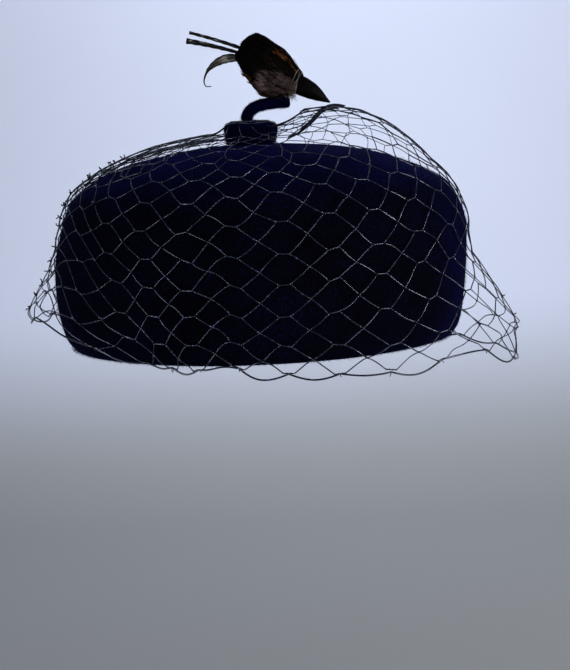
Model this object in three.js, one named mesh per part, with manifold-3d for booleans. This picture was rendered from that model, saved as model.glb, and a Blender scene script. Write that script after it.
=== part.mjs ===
// Pillbox hat of navy velour felt: a hollow oval crown, a covered button on top, a bent stem that
// carries a feather trim, and a net veil drawn over the whole hat.
// Millimetres. X points to the wearer's front, Y to the wearer's left, Z up.
// The origin is the middle of the rim's opening, level with the rim, where the hat sits on a head.

import * as THREE from 'three';
import { mergeVertices } from 'three/addons/utils/BufferGeometryUtils.js';
import Module from 'manifold-3d';

const wasm = await Module();
wasm.setup();

// Clearance between pieces that touch on the real hat.
const GAP = 0.35;

// Felt crown, outside sizes.
const CROWN_LENGTH = 221;
const CROWN_WIDTH = 198;
const CROWN_HEIGHT = 104;
const FELT = 2.6;
const CROWN_SIDES = 48;
const OUTER_STEPS = 16;
const INNER_STEPS = 11;

// Sections of the crown from its top to its rim. Height is a share of CROWN_HEIGHT. Front, back and
// side are the outline's reach there, as shares of half the length or half the width.
const CROWN_ROWS = [
  { height: 1.0, front: 0, back: 0, side: 0 },
  { height: 1.0, front: 0.12, back: 0.12, side: 0.12 },
  { height: 0.98, front: 0.35, back: 0.33, side: 0.34 },
  { height: 0.94, front: 0.575, back: 0.545, side: 0.56 },
  { height: 0.88, front: 0.74, back: 0.72, side: 0.73 },
  { height: 0.815, front: 0.865, back: 0.835, side: 0.85 },
  { height: 0.76, front: 0.93, back: 0.893, side: 0.912 },
  { height: 0.68, front: 0.972, back: 0.935, side: 0.955 },
  { height: 0.58, front: 1.003, back: 0.965, side: 0.985 },
  { height: 0.42, front: 1.003, back: 0.998, side: 1.0 },
  { height: 0.22, front: 0.99, back: 1.0, side: 0.995 },
  { height: 0.06, front: 0.96, back: 0.968, side: 0.975 },
  { height: 0.0, front: 0.925, back: 0.93, side: 0.945 },
];

// Covered button, a low drum with rounded edges that stands on the crown a little behind its middle.
const BUTTON_RADIUS = 14.4;
const BUTTON_HEIGHT = 12;
const BUTTON_BACK = 2.4;
const BUTTON_SIDES = 28;
const BUTTON_ROWS = [
  { reach: 0, height: 0 },
  { reach: 0.84, height: 0 },
  { reach: 0.92, height: 0.06 },
  { reach: 0.96, height: 0.3 },
  { reach: 1.0, height: 0.58 },
  { reach: 0.985, height: 0.76 },
  { reach: 0.9, height: 0.89 },
  { reach: 0.74, height: 0.95 },
  { reach: 0.4, height: 0.99 },
  { reach: 0, height: 1.0 },
];

// Bent stem. Its rows are shares of how far it reaches forward and how far it rises to its arm.
const STEM_DIAMETER = 6.2;
const STEM_REACH = 23.5;
const STEM_RISE = 9.0;
const STEM_BACK = 1.6;
const STEM_SIDES = 12;
const STEM_STEPS = 12;
const STEM_ROWS = [
  { reach: 0, rise: 0 },
  { reach: 0, rise: 0.12 },
  { reach: 0.02, rise: 0.34 },
  { reach: 0.12, rise: 0.64 },
  { reach: 0.32, rise: 0.86 },
  { reach: 0.62, rise: 0.96 },
  { reach: 1.0, rise: 1.0 },
];

// Feather body. It is tied at its neck and widens towards its tail, which points up and back.
// Above, below and beside are shares of PLUME_THICK or PLUME_DEPTH, measured from its axis.
const PLUME_LENGTH = 37;
const PLUME_THICK = 29;
const PLUME_DEPTH = 24;
const PLUME_TILT = 27.9;
const PLUME_AHEAD = 5.1;
const PLUME_SEAT = 0.19;
const PLUME_SIDES = 16;
const PLUME_ROWS = [
  { along: 0, above: 0.2, below: 0.2, beside: 0.2 },
  { along: 0.12, above: 0.27, below: 0.32, beside: 0.32 },
  { along: 0.25, above: 0.36, below: 0.4, beside: 0.42 },
  { along: 0.4, above: 0.43, below: 0.455, beside: 0.48 },
  { along: 0.55, above: 0.47, below: 0.4, beside: 0.46 },
  { along: 0.7, above: 0.5, below: 0.3, beside: 0.4 },
  { along: 0.83, above: 0.49, below: 0.19, beside: 0.3 },
  { along: 0.93, above: 0.35, below: 0.08, beside: 0.18 },
  { along: 1.0, above: 0.2, below: -0.02, beside: 0.08 },
];

// Feathers laid on the body. Turn is the angle round the axis from straight up, in degrees, and the
// feather runs from start to end along the axis. Its point stands LEAF_LIFT off the body. LEAF_ROOT
// is its width at the root as a share of the widest, and LEAF_POINT where its point is cut blunt.
const LEAF_WIDTH = 10;
const LEAF_THICK = 1.5;
const LEAF_LIFT = 1;
const LEAF_ROOT = 0.12;
const LEAF_POINT = 0.96;
const LEAF_STEPS = 6;
const LEAF_SIDES = 6;
const LEAF_ROWS = [
  { turn: 20, start: 0.1, end: 0.94 },
  { turn: 62, start: 0.1, end: 0.98 },
  { turn: 104, start: 0.08, end: 0.9 },
  { turn: 150, start: 0.1, end: 0.8 },
  { turn: 196, start: 0.1, end: 0.86 },
  { turn: 242, start: 0.08, end: 0.78 },
  { turn: 288, start: 0.1, end: 0.92 },
  { turn: 330, start: 0.12, end: 1.0 },
];

// Bare pointed tip beyond the neck. Half is a share of TIP_DIAMETER and droop of its length.
const TIP_LENGTH = 18.5;
const TIP_DIAMETER = 10.4;
const TIP_STEPS = 9;
const TIP_SIDES = 10;
const TIP_ROWS = [
  { along: 0, half: 0.5, droop: 0 },
  { along: 0.22, half: 0.49, droop: 0 },
  { along: 0.45, half: 0.43, droop: -0.01 },
  { along: 0.68, half: 0.3, droop: -0.035 },
  { along: 0.86, half: 0.15, droop: -0.055 },
  { along: 1.0, half: 0.04, droop: -0.065 },
];

// Two stripped quills that leave the tail, and a curled feather below them. Above and aside are
// millimetres from the body's axis at the tail, and droop is how far the end hangs. QUILL_BEND is
// the share of the droop reached halfway, and QUILL_SPREAD how many times aside grows to the end.
const QUILL_LENGTH = 27;
const QUILL_ROOT = 4;
const QUILL_BEND = 0.4;
const QUILL_SPREAD = 3;
const QUILL_STEPS = 8;
const QUILL_SIDES = 6;
const QUILLS = [
  { name: 'quill_upper', above: 4.4, aside: 1.2, droop: -4.9, wideRoot: 1.0, wideEnd: 0.8, thick: 0.6 },
  { name: 'quill_lower', above: 1.9, aside: -1.2, droop: -6.8, wideRoot: 0.8, wideEnd: 1.5, thick: 0.6 },
];
const CURL_SIZE = 20;
const CURL_WIDE = 3.6;
const CURL_THICK = 1.2;
const CURL_STEPS = 16;
const CURL_SIDES = 8;
const CURL_ROWS = [
  { along: -0.3, above: 0.02, wide: 0.5 },
  { along: 0.0, above: -0.1, wide: 0.9 },
  { along: 0.22, above: -0.24, wide: 1.0 },
  { along: 0.4, above: -0.46, wide: 0.95 },
  { along: 0.5, above: -0.71, wide: 0.75 },
  { along: 0.48, above: -0.98, wide: 0.45 },
  { along: 0.37, above: -1.1, wide: 0.3 },
  { along: 0.24, above: -1.04, wide: 0.22 },
];

// Net veil. It passes round the stem, lies over the button, stands off the felt in a puff in front,
// hugs the wall, and flares at its hem. VEIL_RING is the radius of the ring round the stem. The spokes
// bend at SPOKE_EDGE of the button's radius, where they lean outward by SPOKE_LEAN, and again at
// SPOKE_BREAK of the way down to the net. SHARPEST_CORNER keeps narrow corners of a mesh from
// being drawn in too far.
const VEIL_COLUMNS = 12;
const VEIL_MESHES = 5;
const STRAND_WIDTH = 3.8;
const STRAND_THICK = 1.2;
const TWIST_LENGTH = 4.6;
const VEIL_RING = 8;
const SPOKE_EDGE = 0.86;
const SPOKE_LEAN = 0.5;
const SPOKE_BREAK = 0.45;
const SHARPEST_CORNER = 0.4;
const VEIL_START = 0.135;
const VEIL_LIFT = 30;
const VEIL_NARROWING = 0.1;
const VEIL_HEM = { front: 1.08, back: 0.94, side: 1.05 };

// Where the net's rows of twists lie, as shares of the way from VEIL_START to the hem. The meshes
// are longer near the top, where they are narrow.
const VEIL_SPACING = [
  { mesh: 0, front: 0, back: 0, side: 0 },
  { mesh: 1, front: 0.275, back: 0.28, side: 0.275 },
  { mesh: 2, front: 0.47, back: 0.485, side: 0.465 },
  { mesh: 3, front: 0.65, back: 0.665, side: 0.65 },
  { mesh: 4, front: 0.785, back: 0.832, side: 0.81 },
  { mesh: VEIL_MESHES, front: 1, back: 1, side: 1 },
];

// How far the net stands off the felt, as a share of VEIL_LIFT, along the way from the top of the
// crown (0) to its rim (1) and on below the rim.
const VEIL_ROWS = [
  { along: 0.135, front: 0.61, back: 0.23, side: 0.18 },
  { along: 0.21, front: 0.7, back: 0.215, side: 0.17 },
  { along: 0.28, front: 0.68, back: 0.2, side: 0.155 },
  { along: 0.345, front: 0.57, back: 0.165, side: 0.14 },
  { along: 0.42, front: 0.39, back: 0.13, side: 0.12 },
  { along: 0.49, front: 0.2, back: 0.1, side: 0.1 },
  { along: 0.56, front: 0.085, back: 0.09, side: 0.09 },
  { along: 0.63, front: 0.06, back: 0.07, side: 0.07 },
  { along: 0.72, front: 0.05, back: 0.055, side: 0.05 },
  { along: 0.77, front: 0.15, back: 0.13, side: 0.05 },
  { along: 0.83, front: 0.52, back: 0.35, side: 0.05 },
  { along: 0.873, front: 0.76, back: 0.55, side: 0.055 },
  { along: 0.91, front: 0.96, back: 0.5, side: 0.06 },
  { along: 0.965, front: 1.19, back: 0.2, side: 0.1 },
  { along: 1.08, front: 1.17, back: 0.15, side: 0.18 },
];

// Gathered fold of the net, from the felt beside the button up to the top of the puff.
const GATHER_DIAMETER = 3.2;
const GATHER_SIDES = 8;
const GATHER_STEPS = 14;
const GATHER_ROWS = [
  { along: 0.089, lift: 0.075 },
  { along: 0.125, lift: 0.22 },
  { along: 0.16, lift: 0.43 },
  { along: 0.183, lift: 0.6 },
  { along: 0.215, lift: 0.69 },
  { along: 0.27, lift: 0.68 },
];

// Finishes.
const velour = { color: 0x0b0f33, roughness: 0.95, metalness: 0 };
const netThread = { color: 0x1a1d33, roughness: 0.6, metalness: 0 };
const featherDark = { color: 0x2a1d18, roughness: 0.8, metalness: 0 };
const featherGrey = { color: 0x4a443c, roughness: 0.7, metalness: 0 };
const glossBlack = { color: 0x0a0a0b, roughness: 0.3, metalness: 0 };

// A value from a table, in a straight line between the two rows on either side.
function readTable(rows, key, column, at) {
  const next = rows.findIndex((row) => row[key] >= at);
  if (next === 0) return rows[0][column];
  if (next < 0) return rows[rows.length - 1][column];
  const before = rows[next - 1];
  const after = rows[next];
  const share = (at - before[key]) / (after[key] - before[key]);
  return before[column] + (after[column] - before[column]) * share;
}

// A table's values in front, behind and at the sides.
function readDirections(rows, key, at) {
  return {
    front: readTable(rows, key, 'front', at),
    back: readTable(rows, key, 'back', at),
    side: readTable(rows, key, 'side', at),
  };
}

// One value for a direction round the hat, from its values in front, behind and at the sides.
function byDirection(angle, { front, back, side }) {
  const ahead = Math.cos(angle);
  return side + ((ahead > 0 ? front : back) - side) * ahead * ahead;
}

// Turns a closed mesh the right way out.
function facingOut(points, index) {
  let volume = 0;
  for (let k = 0; k < index.length; k += 3) {
    const [a, b, c] = [points[index[k]], points[index[k + 1]], points[index[k + 2]]];
    volume += a.dot(new THREE.Vector3().crossVectors(b, c));
  }
  const geometry = new THREE.BufferGeometry();
  geometry.setFromPoints(points);
  geometry.setIndex(volume < 0 ? index.slice().reverse() : index);
  return geometry;
}

// One closed body through a row of rings with the same number of points, shut by a point at each end.
function loft(start, rings, end) {
  const around = rings[0].length;
  const points = [start, ...rings.flat(), end];
  const last = points.length - 1;
  const at = (ring, k) => 1 + ring * around + (k % around);
  const index = [];
  for (let k = 0; k < around; k++) {
    index.push(0, at(0, k + 1), at(0, k));
    index.push(last, at(rings.length - 1, k), at(rings.length - 1, k + 1));
    for (let ring = 0; ring + 1 < rings.length; ring++) {
      index.push(at(ring, k), at(ring, k + 1), at(ring + 1, k));
      index.push(at(ring, k + 1), at(ring + 1, k + 1), at(ring + 1, k));
    }
  }
  return facingOut(points, index);
}

// A rod or blade along a curve. Across is the direction of its width, and wide and thick give half
// its size at each share of the way. Margin makes it that much bigger all over, for a cutter.
function blade(curve, steps, sides, across, wide, thick, margin = 0) {
  const rings = [];
  const ends = [];
  for (let step = 0; step <= steps; step++) {
    const share = step / steps;
    const forward = curve.getTangentAt(share);
    const side = across.clone().addScaledVector(forward, -across.dot(forward)).normalize();
    const up = new THREE.Vector3().crossVectors(side, forward);
    const overrun = step === 0 ? -margin : step === steps ? margin : 0;
    const centre = curve.getPointAt(share).addScaledVector(forward, overrun);
    const ring = [];
    for (let k = 0; k < sides; k++) {
      const turn = (2 * Math.PI * k) / sides;
      const point = centre.clone().addScaledVector(side, (wide(share) + margin) * Math.cos(turn));
      ring.push(point.addScaledVector(up, (thick(share) + margin) * Math.sin(turn)));
    }
    rings.push(ring);
    ends.push(centre);
  }
  return loft(ends[0], rings, ends[steps]);
}

function toSolid(geometry) {
  const bare = geometry.clone();
  bare.deleteAttribute('normal');
  bare.deleteAttribute('uv');
  const merged = mergeVertices(bare, 1e-4);
  return new wasm.Manifold(new wasm.Mesh({
    numProp: 3,
    vertProperties: new Float32Array(merged.attributes.position.array),
    triVerts: new Uint32Array(merged.index.array),
  }));
}

function toGeometry(solid) {
  const mesh = solid.getMesh();
  const geometry = new THREE.BufferGeometry();
  geometry.setAttribute('position', new THREE.BufferAttribute(new Float32Array(mesh.vertProperties), 3));
  geometry.setIndex(new THREE.BufferAttribute(new Uint32Array(mesh.triVerts), 1));
  return geometry;
}

function joinAll(geometries) {
  return geometries.map(toSolid).reduce((whole, solid) => whole.add(solid));
}

// The crown's outline in one upright half plane, from the middle of its top down to the rim.
const crownCurves = new Map();
function crownCurve(angle) {
  if (!crownCurves.has(angle)) {
    const reach = 1 / Math.hypot(Math.cos(angle) / (CROWN_LENGTH / 2), Math.sin(angle) / (CROWN_WIDTH / 2));
    const points = CROWN_ROWS.map(
      (row) => new THREE.Vector3(reach * byDirection(angle, row), 0, CROWN_HEIGHT * row.height),
    );
    crownCurves.set(angle, new THREE.CatmullRomCurve3(points, false, 'catmullrom', 0.5));
  }
  return crownCurves.get(angle);
}

// A point off the felt by a distance, and the direction off the felt there. Along is a share of the
// way from the middle of the top to the rim, and past 1 it goes straight down below the rim.
function offFelt(angle, along, distance) {
  const curve = crownCurve(angle);
  const onFelt = Math.min(along, 1);
  const tangent = onFelt < 1 ? curve.getTangentAt(onFelt) : new THREE.Vector3(0, 0, -1);
  const place = curve.getPointAt(onFelt);
  place.z -= (along - onFelt) * curve.getLength();
  const off = new THREE.Vector3(-tangent.z, 0, tangent.x);
  place.addScaledVector(off, distance);
  const upright = new THREE.Vector3(0, 0, 1);
  return { point: place.applyAxisAngle(upright, angle), off: off.applyAxisAngle(upright, angle) };
}

// Crown: outer skin from the top down to the rim, then the inner skin back up.
function crownGeometry() {
  const ringAt = (along, distance, level) => {
    const ring = [];
    for (let k = 0; k < CROWN_SIDES; k++) {
      const point = offFelt((2 * Math.PI * k) / CROWN_SIDES, along, distance).point;
      if (level) point.z = 0;
      ring.push(point);
    }
    return ring;
  };
  const rings = [];
  for (let step = 1; step <= OUTER_STEPS; step++) rings.push(ringAt(step / OUTER_STEPS, 0, step === OUTER_STEPS));
  for (let step = INNER_STEPS; step >= 1; step--) rings.push(ringAt(step / INNER_STEPS, -FELT, step === INNER_STEPS));
  return loft(new THREE.Vector3(0, 0, CROWN_HEIGHT), rings, new THREE.Vector3(0, 0, CROWN_HEIGHT - FELT));
}

// Button.
const buttonFoot = CROWN_HEIGHT + GAP;
const buttonTop = buttonFoot + BUTTON_HEIGHT;
function buttonGeometry() {
  const profile = BUTTON_ROWS.map(
    (row) => new THREE.Vector2(BUTTON_RADIUS * row.reach, BUTTON_HEIGHT * row.height),
  );
  const drum = new THREE.LatheGeometry(profile, BUTTON_SIDES);
  drum.rotateX(Math.PI / 2);
  drum.translate(-BUTTON_BACK, 0, buttonFoot);
  return drum;
}

// Stem.
const stemFoot = new THREE.Vector3(-BUTTON_BACK - STEM_BACK, 0, buttonTop + GAP);
const stemCurve = new THREE.CatmullRomCurve3(STEM_ROWS.map(
  (row) => new THREE.Vector3(STEM_REACH * row.reach, 0, STEM_RISE * row.rise).add(stemFoot),
));
const sideways = new THREE.Vector3(0, 1, 0);
function stemGeometry(margin = 0) {
  const half = () => STEM_DIAMETER / 2;
  return blade(stemCurve, STEM_STEPS, STEM_SIDES, sideways, half, half, margin);
}

// Frame of the feather trim: its origin is the middle of the neck, x runs to the tail, z is up.
const tilt = THREE.MathUtils.degToRad(PLUME_TILT);
const towardTail = new THREE.Vector3(-Math.cos(tilt), 0, Math.sin(tilt));
const awayFromStem = new THREE.Vector3(Math.sin(tilt), 0, Math.cos(tilt));
const armTop = stemFoot.z + STEM_RISE + STEM_DIAMETER / 2;
const neck = new THREE.Vector3(stemFoot.x + STEM_REACH + PLUME_AHEAD, 0, armTop + PLUME_SEAT * PLUME_THICK);
const trimFrame = new THREE.Matrix4().makeBasis(towardTail, sideways.clone().negate(), awayFromStem);
trimFrame.setPosition(neck);
function inTrim(along, aside, above) {
  return new THREE.Vector3(along, aside, above).applyMatrix4(trimFrame);
}

// Half size of the feather body from its axis in one direction, turn being 0 straight up.
function plumeHalf(along, turn) {
  const upward = Math.cos(turn);
  const height = readTable(PLUME_ROWS, 'along', upward > 0 ? 'above' : 'below', along) * PLUME_THICK;
  const depth = readTable(PLUME_ROWS, 'along', 'beside', along) * PLUME_DEPTH;
  return { aside: depth * Math.sin(turn), above: height * upward };
}

function plumeCore() {
  const rings = PLUME_ROWS.map((row) => {
    const ring = [];
    for (let k = 0; k < PLUME_SIDES; k++) {
      const { aside, above } = plumeHalf(row.along, (2 * Math.PI * (k + 0.5)) / PLUME_SIDES);
      ring.push(inTrim(row.along * PLUME_LENGTH, aside, above));
    }
    return ring;
  });
  const tail = readTable(PLUME_ROWS, 'along', 'above', 1) / 2;
  return loft(inTrim(0, 0, 0), rings, inTrim(PLUME_LENGTH, 0, tail * PLUME_THICK));
}

// One feather laid on the body, a lens with its root at the neck and its point towards the tail.
function plumeLeaf({ turn, start, end }) {
  const angle = THREE.MathUtils.degToRad(turn);
  const points = [];
  for (let step = 0; step <= LEAF_STEPS; step++) {
    const along = start + ((end - start) * step) / LEAF_STEPS;
    const { aside, above } = plumeHalf(along, angle);
    const lift = 1 + (LEAF_LIFT * step) / LEAF_STEPS / Math.max(Math.hypot(aside, above), LEAF_LIFT);
    points.push(inTrim(along * PLUME_LENGTH, aside * lift, above * lift));
  }
  const across = inTrim(0, Math.cos(angle), -Math.sin(angle)).sub(neck);
  const swell = (share) => Math.sin(Math.PI * Math.min(share, LEAF_POINT));
  const wide = (share) => (LEAF_WIDTH / 2) * (LEAF_ROOT + (1 - LEAF_ROOT) * swell(share));
  const thick = () => LEAF_THICK / 2;
  return blade(new THREE.CatmullRomCurve3(points), LEAF_STEPS, LEAF_SIDES, across, wide, thick);
}

// Stripped quills and the curled feather, as blades. Margin makes the cutter for their sockets.
function quillGeometry(quill, margin = 0) {
  const root = inTrim(PLUME_LENGTH - QUILL_ROOT, quill.aside, quill.above);
  const middle = inTrim(
    PLUME_LENGTH + QUILL_LENGTH / 2,
    (quill.aside * (1 + QUILL_SPREAD)) / 2,
    quill.above + quill.droop * QUILL_BEND,
  );
  const end = inTrim(PLUME_LENGTH + QUILL_LENGTH, quill.aside * QUILL_SPREAD, quill.above + quill.droop);
  const curve = new THREE.QuadraticBezierCurve3(root, middle, end);
  const wide = (share) => quill.wideRoot + (quill.wideEnd - quill.wideRoot) * share;
  return blade(curve, QUILL_STEPS, QUILL_SIDES, awayFromStem, wide, () => quill.thick, margin);
}

function curlGeometry(margin = 0) {
  const points = CURL_ROWS.map((row) => inTrim(PLUME_LENGTH + row.along * CURL_SIZE, 0, row.above * CURL_SIZE));
  const shares = CURL_ROWS.map((row, k) => ({ share: k / (CURL_ROWS.length - 1), wide: row.wide }));
  const wide = (share) => (readTable(shares, 'share', 'wide', share) * CURL_THICK) / 2;
  const thick = (share) => (readTable(shares, 'share', 'wide', share) * CURL_WIDE) / 2;
  return blade(new THREE.CatmullRomCurve3(points), CURL_STEPS, CURL_SIDES, sideways, wide, thick, margin);
}

// Feather body and its feathers, with sockets for the stem, the quills and the curled feather.
function plumeGeometry() {
  const whole = joinAll([plumeCore(), ...LEAF_ROWS.map(plumeLeaf)]);
  const cutters = [stemGeometry(GAP), curlGeometry(GAP), ...QUILLS.map((quill) => quillGeometry(quill, GAP))];
  const cut = cutters.map(toSolid).reduce((rest, cutter) => rest.subtract(cutter), whole);
  return toGeometry(cut.trimByPlane(towardTail.toArray(), towardTail.dot(neck)));
}

// Pointed tip, face to face with the neck.
function tipGeometry() {
  const points = TIP_ROWS.map((row) => inTrim(-GAP - row.along * TIP_LENGTH, 0, row.droop * TIP_LENGTH));
  const half = (share) => readTable(TIP_ROWS, 'along', 'half', share) * TIP_DIAMETER;
  return blade(new THREE.CatmullRomCurve3(points), TIP_STEPS, TIP_SIDES, sideways, half, half);
}

// A place in the net. Column goes round the hat from its front, and mesh from the net's top row (0)
// to its hem (VEIL_MESHES). VEIL_NARROWING makes the meshes narrower in front and behind, where the
// flare makes them long.
function columnAngle(column) {
  const even = (2 * Math.PI * column) / VEIL_COLUMNS;
  return even - VEIL_NARROWING * Math.sin(2 * even);
}

function onNet(column, mesh) {
  const angle = columnAngle(column);
  const share = byDirection(angle, readDirections(VEIL_SPACING, 'mesh', mesh));
  const along = VEIL_START + (byDirection(angle, VEIL_HEM) - VEIL_START) * share;
  return offFelt(angle, along, VEIL_LIFT * byDirection(angle, readDirections(VEIL_ROWS, 'along', along)));
}

// A place on the net where it lies on the button, that far from the button's middle.
function onButton(column, reach, lean) {
  const angle = columnAngle(column);
  const outward = new THREE.Vector3(Math.cos(angle), Math.sin(angle), 0);
  const point = outward.clone().multiplyScalar(reach);
  point.x -= BUTTON_BACK;
  point.z = buttonTop + GAP + STRAND_THICK / 2;
  return { point, off: outward.multiplyScalar(lean).add(new THREE.Vector3(0, 0, 1)).normalize() };
}

function between(a, b, share) {
  return { point: a.point.clone().lerp(b.point, share), off: a.off.clone().lerp(b.off, share).normalize() };
}

// The net's meshes, each a loop of corners that runs anticlockwise seen from outside. The corners
// are the ends of the short twists, the knots between them, the spokes that run in over the button
// and the ring round the stem.
function netLoops() {
  const corners = new Map();
  const corner = (name, make) => {
    if (!corners.has(name)) corners.set(name, { name, ...make() });
    return corners.get(name);
  };
  const wrap = (column) => (column + VEIL_COLUMNS) % VEIL_COLUMNS;
  const halfTwist = (column, mesh) => {
    const pitch = onNet(column - 0.5, mesh).point.distanceTo(onNet(column + 0.5, mesh).point);
    return TWIST_LENGTH / 2 / pitch;
  };
  const twist = (column, mesh, side) => {
    const at = wrap(column);
    return corner(`twist ${at} ${mesh} ${side}`, () => onNet(at + side * halfTwist(at, mesh), mesh));
  };
  const knot = (column, mesh) => {
    const at = wrap(column);
    return corner(`knot ${at} ${mesh}`, () => onNet(at + 0.5, mesh + 0.5));
  };
  const bend = (column, side, mesh, knotMesh) => {
    const at = wrap(column);
    return corner(`bend ${at} ${side} ${mesh} ${knotMesh}`, () => {
      const halfway = (halfTwist(at, mesh) + 0.5) / 2;
      return onNet(at + side * halfway, (mesh + knotMesh + 0.5) / 2);
    });
  };
  const hub = (column) => corner(`hub ${wrap(column)}`, () => onNet(wrap(column), 0));
  const edge = (column) => corner(
    `edge ${wrap(column)}`,
    () => onButton(wrap(column), BUTTON_RADIUS * SPOKE_EDGE, SPOKE_LEAN),
  );
  const spoke = (column) => corner(`spoke ${wrap(column)}`, () => between(edge(column), hub(column), SPOKE_BREAK));
  const ring = (column) => corner(`ring ${wrap(column)}`, () => onButton(wrap(column), VEIL_RING, 0));

  const loops = [];
  for (let column = 0; column < VEIL_COLUMNS; column++) {
    loops.push([
      ring(column), edge(column), spoke(column), hub(column), twist(column, 0, 1),
      bend(column, 1, 0, 0), knot(column, 0), bend(column + 1, -1, 0, 0),
      twist(column + 1, 0, -1), hub(column + 1), spoke(column + 1), edge(column + 1), ring(column + 1),
    ]);
    for (let mesh = 0; mesh < VEIL_MESHES; mesh++) {
      loops.push([
        twist(column, mesh, -1), bend(column, -1, mesh, mesh), knot(column - 1, mesh),
        bend(column, -1, mesh + 1, mesh), twist(column, mesh + 1, -1), twist(column, mesh + 1, 1),
        bend(column, 1, mesh + 1, mesh), knot(column, mesh), bend(column, 1, mesh, mesh),
        twist(column, mesh, 1), ...(mesh === 0 ? [hub(column)] : []),
      ]);
    }
    for (let mesh = 1; mesh < VEIL_MESHES; mesh++) {
      loops.push([
        knot(column, mesh - 1), bend(column, 1, mesh, mesh - 1), twist(column, mesh, 1),
        bend(column, 1, mesh, mesh), knot(column, mesh), bend(column + 1, -1, mesh, mesh),
        twist(column + 1, mesh, -1), bend(column + 1, -1, mesh, mesh - 1),
      ]);
    }
  }
  const columns = [...Array(VEIL_COLUMNS).keys()];
  loops.push(columns.map(ring));
  loops.push(columns.map((k) => VEIL_COLUMNS - k).flatMap((column) => [
    twist(column, VEIL_MESHES, 1), twist(column, VEIL_MESHES, -1),
    bend(column, -1, VEIL_MESHES, VEIL_MESHES - 1), knot(column - 1, VEIL_MESHES - 1),
    bend(column - 1, 1, VEIL_MESHES, VEIL_MESHES - 1),
  ]));
  return loops;
}

// Each mesh's loop drawn in by half a strand, so that what is left between the loops is the net.
function drawnIn(loop) {
  return loop.map((corner, k) => {
    const before = loop[(k + loop.length - 1) % loop.length];
    const after = loop[(k + 1) % loop.length];
    const leftOf = (a, b) => corner.off.clone().cross(b.point.clone().sub(a.point)).normalize();
    const [left, right] = [leftOf(before, corner), leftOf(corner, after)];
    const reach = STRAND_WIDTH / 2 / Math.max(1 + left.dot(right), SHARPEST_CORNER);
    const inner = corner.point.clone().addScaledVector(left.add(right), reach);
    return {
      top: inner.clone().addScaledVector(corner.off, STRAND_THICK / 2),
      under: inner.clone().addScaledVector(corner.off, -STRAND_THICK / 2),
    };
  });
}

// The pierced net as one closed mesh: its two faces between the loops, and a wall round each mesh.
function netGeometry() {
  const points = [];
  const index = [];
  const across = new Map();
  const places = (point) => points.push(point) - 1;
  const sides = netLoops().map((loop) => {
    const drawn = drawnIn(loop);
    return loop.map((corner, k) => ({
      name: corner.name,
      next: loop[(k + 1) % loop.length].name,
      top: places(drawn[k].top),
      under: places(drawn[k].under),
    }));
  });
  const face = (ring) => {
    for (let k = 2; k < ring.length; k++) {
      index.push(ring[0].top, ring[k - 1].top, ring[k].top);
      index.push(ring[0].under, ring[k].under, ring[k - 1].under);
    }
  };
  sides.forEach((loop) => loop.forEach((a, k) => {
    const b = loop[(k + 1) % loop.length];
    across.set(`${a.name}>${b.name}`, { a, b });
    index.push(a.top, b.top, b.under, a.top, b.under, a.under);
  }));
  for (const [way, { a, b }] of across) {
    const back = across.get(way.split('>').reverse().join('>'));
    if (a.name < b.name) face([a, back.b, back.a, b]);
  }
  const done = new Set();
  for (const { a } of across.values()) {
    if (done.has(a.name)) continue;
    done.add(a.name);
    const ring = [];
    let here = a;
    do {
      ring.unshift(here);
      here = across.get(`${here.next}>${here.name}`).b;
    } while (here !== a);
    if (ring.length > 2) face(ring);
  }
  return facingOut(points, index);
}

// The gathered fold, which ends in the net at the first twist in front.
function gatherGeometry() {
  const points = GATHER_ROWS.map((row) => offFelt(0, row.along, VEIL_LIFT * row.lift).point);
  points.push(onNet(0, 1).point);
  const half = () => GATHER_DIAMETER / 2;
  return blade(new THREE.CatmullRomCurve3(points), GATHER_STEPS, GATHER_SIDES, sideways, half, half);
}

function veilGeometry() {
  return toGeometry(joinAll([netGeometry(), gatherGeometry()]));
}

function piece(name, geometry, finish) {
  const mesh = new THREE.Mesh(geometry, new THREE.MeshStandardMaterial(finish));
  mesh.name = name;
  return mesh;
}

const hat = new THREE.Group();
hat.name = 'pillbox_hat';
hat.add(
  piece('crown', crownGeometry(), velour),
  piece('button', buttonGeometry(), velour),
  piece('stem', stemGeometry(), velour),
  piece('plume', plumeGeometry(), featherDark),
  piece('plume_tip', tipGeometry(), glossBlack),
  ...QUILLS.map((quill) => piece(quill.name, quillGeometry(quill), featherGrey)),
  piece('curled_feather', curlGeometry(), featherGrey),
  piece('veil', veilGeometry(), netThread),
);

export default hat;
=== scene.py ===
# Looks of the pillbox hat: velour felt, covered button and stem, feather trim and fine net veil.
# X points to the hat's front, Y to its left and Z up. The hat's pieces are made in millimetres, which
# Maker.piece turns into metres. The backdrop, the lights and the camera are in metres.

import math

import bpy
import numpy as np
from mathutils import Matrix, Vector


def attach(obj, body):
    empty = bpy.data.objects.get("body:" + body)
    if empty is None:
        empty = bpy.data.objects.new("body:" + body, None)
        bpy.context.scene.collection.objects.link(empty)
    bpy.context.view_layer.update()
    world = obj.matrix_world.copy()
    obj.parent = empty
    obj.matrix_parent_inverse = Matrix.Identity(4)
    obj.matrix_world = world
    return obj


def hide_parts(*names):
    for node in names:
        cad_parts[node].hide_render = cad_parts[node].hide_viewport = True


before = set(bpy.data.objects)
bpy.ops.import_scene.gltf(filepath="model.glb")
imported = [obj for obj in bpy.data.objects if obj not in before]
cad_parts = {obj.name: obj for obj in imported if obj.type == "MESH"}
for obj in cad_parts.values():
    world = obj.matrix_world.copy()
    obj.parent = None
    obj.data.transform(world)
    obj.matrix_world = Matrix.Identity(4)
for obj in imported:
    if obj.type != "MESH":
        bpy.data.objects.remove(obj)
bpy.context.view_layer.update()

MM = 0.001
SEED = 11
rng = np.random.default_rng(SEED)
TURN = 2 * math.pi
UP = np.array([0.0, 0.0, 1.0])
SIDEWAYS = np.array([0.0, 1.0, 0.0])

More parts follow.
